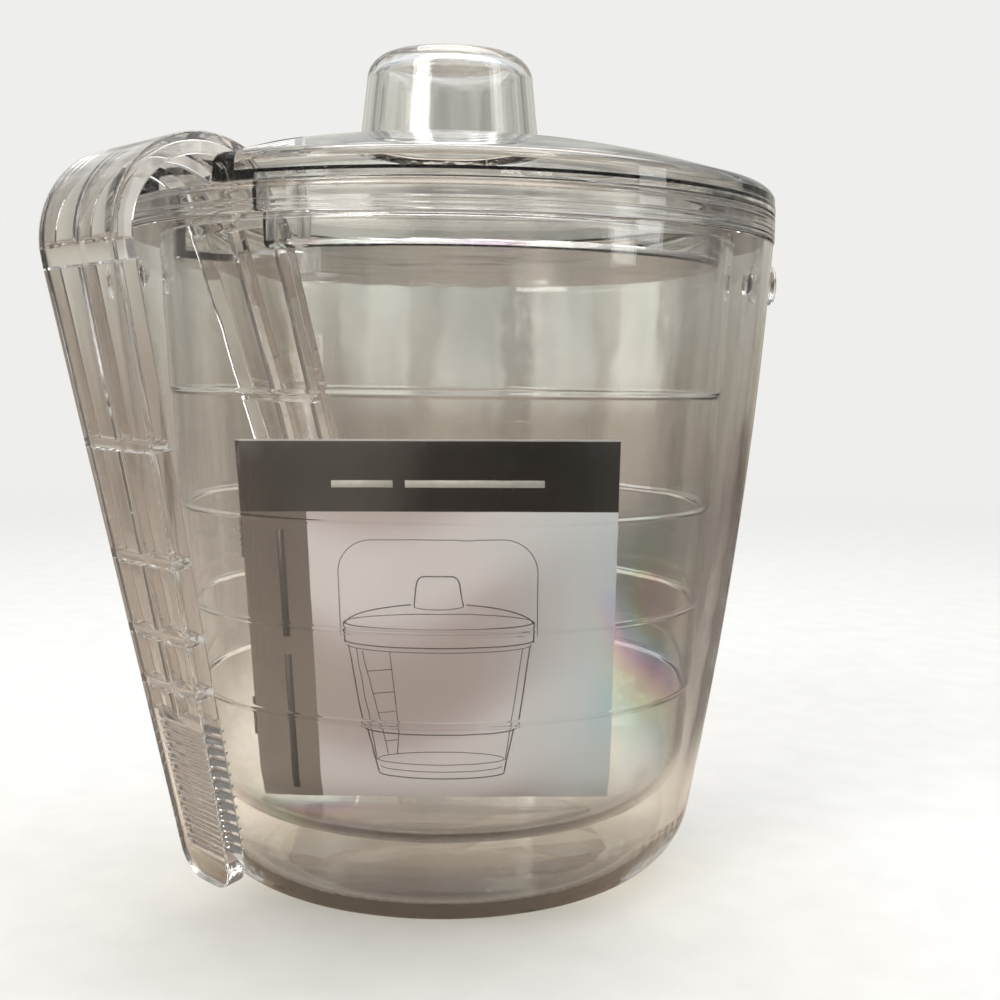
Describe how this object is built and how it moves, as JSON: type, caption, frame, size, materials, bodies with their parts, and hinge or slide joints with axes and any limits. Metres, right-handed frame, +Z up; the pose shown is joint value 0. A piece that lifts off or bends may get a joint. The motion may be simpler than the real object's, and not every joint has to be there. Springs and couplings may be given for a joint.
{
  "type": "ice bucket",
  "caption": "Clear double-wall tapered ice bucket with a notched domed lid, hollow knob, ice tongs hung over the rim and a folded leaflet inside.",
  "frame": {"origin": "centre of the bucket's foot, on the surface it stands on", "axes": "+Z up along the bucket's axis; +X out of the right-hand handle stud; +Y to the back, away from the tongs"},
  "size_m": [0.2008, 0.19, 0.2389],
  "materials": {
    "clear_shell": "clear, polished",
    "clear_liner": "clear, polished",
    "clear_lid": "clear, polished",
    "clear_tongs": "clear, polished",
    "printed_cover": "coated paper, printed",
    "paper_pages": "plain paper",
    "staple_wire": "bright wire"
  },
  "bodies": {
    "bucket": {"outer_shell": "clear_shell", "inner_liner": "clear_liner", "handle_stud_right": "clear_shell", "handle_stud_left": "clear_shell"},
    "lid": {"lid_cover": "clear_lid", "lid_liner": "clear_lid"},
    "tongs": {"tongs_bow": "clear_tongs", "tongs_inner_arm": "clear_tongs"},
    "tongs_outer": {"tongs_outer_arm": "clear_tongs"},
    "leaflet": {"leaflet_cover": "printed_cover", "leaflet_pages": "paper_pages", "leaflet_staples": "staple_wire"}
  },
  "joints": [
    {"name": "lid_lift", "type": "slide", "parent": "bucket", "child": "lid", "axis": [0, 0, 1], "range_m": [0, 0.1]},
    {"name": "tongs_lift", "type": "slide", "parent": "bucket", "child": "tongs", "axis": [-0.231, -0.1925, 0.9537], "range_m": [0, 0.19]},
    {"name": "tongs_squeeze", "type": "hinge", "parent": "tongs", "child": "tongs_outer", "pos_m": [-0.09022, -0.07517, 0.17372], "axis": [0.6401, -0.7683, 0], "range_deg": [-8, 0.6], "stiffness_Nm_per_rad": 3},
    {"name": "leaflet_lift", "type": "slide", "parent": "bucket", "child": "leaflet", "axis": [0, 0, 1], "range_m": [0, 0.003]}
  ]
}
